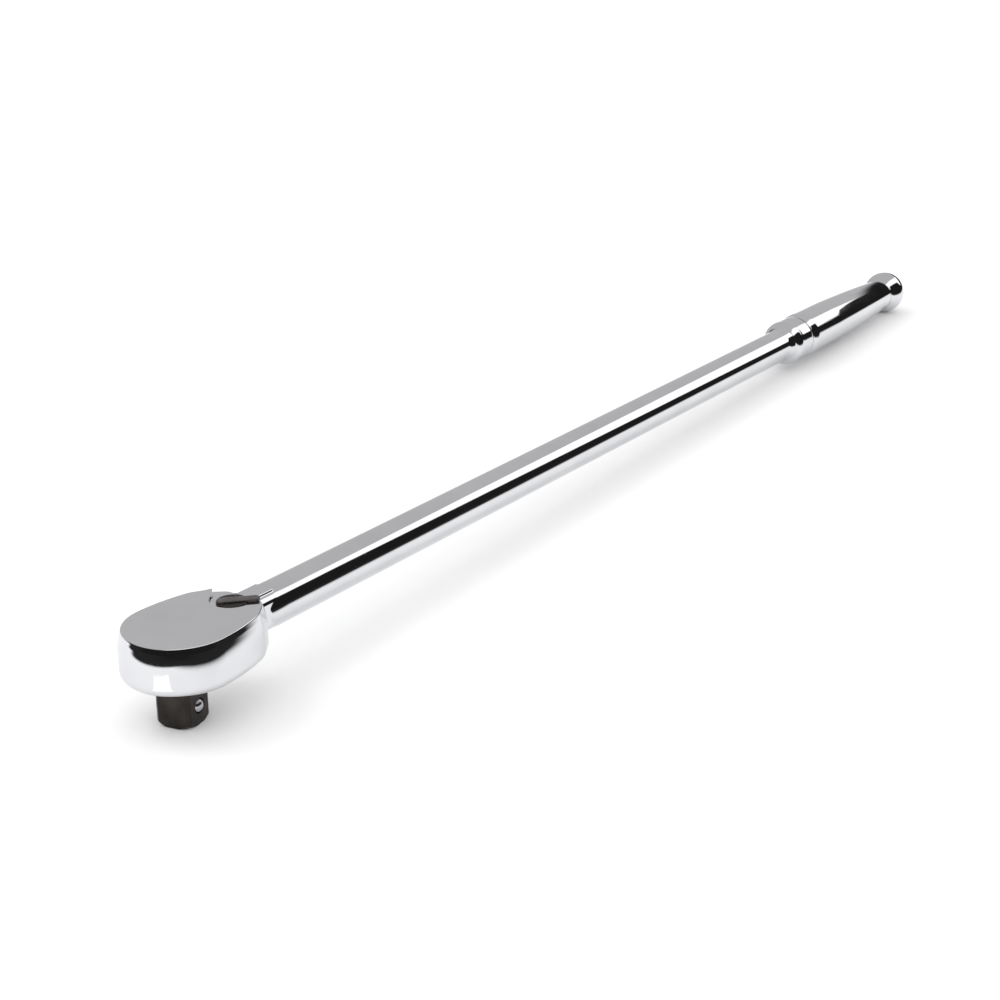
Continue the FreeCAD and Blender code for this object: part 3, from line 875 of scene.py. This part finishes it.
def makeRoom():
    # painted reflections: a large glowing shell that only reflections see and that lights nothing, banded as a
    # grey backdrop, a long white softbox and a dark room
    bm = bmesh.new()
    bmesh.ops.create_icosphere(bm, subdivisions=4, radius=roomSetting["size"])
    mesh = bpy.data.meshes.new("room")
    bm.to_mesh(mesh)
    bm.free()
    material = bpy.data.materials.new("paintedReflectionRoom")
    material.use_nodes = True
    nodes, links = material.node_tree.nodes, material.node_tree.links
    nodes.clear()
    place = nodes.new("ShaderNodeTexCoord")
    unit = nodes.new("ShaderNodeVectorMath")
    unit.operation = "NORMALIZE"
    split = nodes.new("ShaderNodeSeparateXYZ")
    links.new(place.outputs["Object"], unit.inputs[0])
    links.new(unit.outputs["Vector"], split.inputs["Vector"])
    x, y, z = split.outputs["X"], split.outputs["Y"], split.outputs["Z"]
    near = mathNode(nodes, links, "MULTIPLY", y, -1.0)
    around = mathNode(nodes, links, "ARCTAN2", z, near)
    degrees = mathNode(nodes, links, "MULTIPLY", around, 180 / math.pi)
    setting = roomSetting

    def edgeAt(pair):
        made = nodes.new("ShaderNodeMapRange")
        made.inputs["From Min"].default_value = setting["along"][0]
        made.inputs["From Max"].default_value = setting["along"][1]
        made.inputs["To Min"].default_value = pair[0]
        made.inputs["To Max"].default_value = pair[1]
        links.new(x, made.inputs["Value"])
        return made.outputs["Result"]

    def past(edge, width):
        shifted = mathNode(nodes, links, "SUBTRACT", degrees, edge)
        return fadeIn(nodes, links, shifted, -width, width)

    taper = fadeIn(nodes, links, x, setting["narrowFrom"], setting["endAlong"])
    rising = mathNode(nodes, links, "MULTIPLY", taper, setting["narrowing"])
    aboveLow = past(mathNode(nodes, links, "ADD", edgeAt(setting["softboxLow"]), rising), setting["edge"])
    aboveHigh = past(edgeAt(setting["softboxHigh"]), setting["edge"])
    rise = mathNode(nodes, links, "MULTIPLY", aboveLow, setting["white"] - setting["black"])
    fall = mathNode(nodes, links, "MULTIPLY", aboveHigh, setting["grey"] - setting["white"])
    banded = mathNode(nodes, links, "ADD", rise, fall)
    # painted dark reflection: beyond the softbox's end the shell is dark, which blackens the reflections on the
    # grip's end
    end, blur = setting["endAlong"], setting["endBlur"]
    beyond = fadeIn(nodes, links, x, end - blur, end + blur)
    raised = fadeIn(nodes, links, z, *setting["endRise"])
    lit = mathNode(nodes, links, "SUBTRACT", 1.0, mathNode(nodes, links, "MULTIPLY", beyond, raised))
    # painted dark reflection: low down past the head's nose the shell is dark too
    ahead = fadeIn(nodes, links, mathNode(nodes, links, "MULTIPLY", x, -1.0), *setting["aheadAlong"])
    lowDown = mathNode(nodes, links, "SUBTRACT", 1.0, fadeIn(nodes, links, z, *setting["aheadRise"]))
    nose = mathNode(nodes, links, "SUBTRACT", 1.0, mathNode(nodes, links, "MULTIPLY", ahead, lowDown))
    lit = mathNode(nodes, links, "MULTIPLY", lit, nose)
    level = mathNode(nodes, links, "ADD", mathNode(nodes, links, "MULTIPLY", banded, lit), setting["black"])
    glow = nodes.new("ShaderNodeEmission")
    glow.inputs["Color"].default_value = (1.0, 0.985, 1.0, 1.0)
    output = nodes.new("ShaderNodeOutputMaterial")
    links.new(level, glow.inputs["Strength"])
    links.new(glow.outputs["Emission"], output.inputs["Surface"])
    mesh.materials.append(material)
    room = bpy.data.objects.new("room", mesh)
    bpy.context.scene.collection.objects.link(room)
    room.location = (0.3, 0, 0)
    onlyReflected(room)


lightSetting = {
    "world": 1.2,
    "power": 3.0,
    "size": 0.7,
    "place": (-0.25, 0.75, 1.1),
    "target": (0.15, 0.0, 0.0),
}


def makeLights():
    world = bpy.data.worlds.new("studio")
    world.use_nodes = True
    back = world.node_tree.nodes["Background"]
    back.inputs["Color"].default_value = (1.0, 1.0, 1.0, 1.0)
    back.inputs["Strength"].default_value = lightSetting["world"]
    bpy.context.scene.world = world
    data = bpy.data.lights.new("softbox", "AREA")
    data.shape = "SQUARE"
    data.size = lightSetting["size"]
    data.energy = lightSetting["power"]
    box = bpy.data.objects.new("softbox", data)
    bpy.context.scene.collection.objects.link(box)
    box.location = lightSetting["place"]
    aim = Vector(lightSetting["target"]) - Vector(lightSetting["place"])
    box.rotation_euler = aim.to_track_quat("-Z", "Y").to_euler()
    box.visible_glossy = False


cameraSetting = {
    "place": (-0.33526, -0.34384, 0.223118),    # the height is above the shaft's axis
    "turn": (69.7287, 0.0, -56.2543),
    "lens": 60.166,
}


def makeCamera():
    data = bpy.data.cameras.new("camera")
    data.lens = cameraSetting["lens"]
    data.sensor_width = 36.0
    data.clip_start = 0.01
    data.clip_end = 50.0
    camera = bpy.data.objects.new("camera", data)
    bpy.context.scene.collection.objects.link(camera)
    x, y, z = cameraSetting["place"]
    camera.location = (x, y, z + axisZ * mm)
    camera.rotation_euler = [math.radians(a) for a in cameraSetting["turn"]]
    bpy.context.scene.camera = camera


makeFloor()
makeHighlightCard()
makeRoom()
makeLights()
makeCamera()
bpy.context.scene.view_settings.view_transform = "Standard"
print("stage ready")
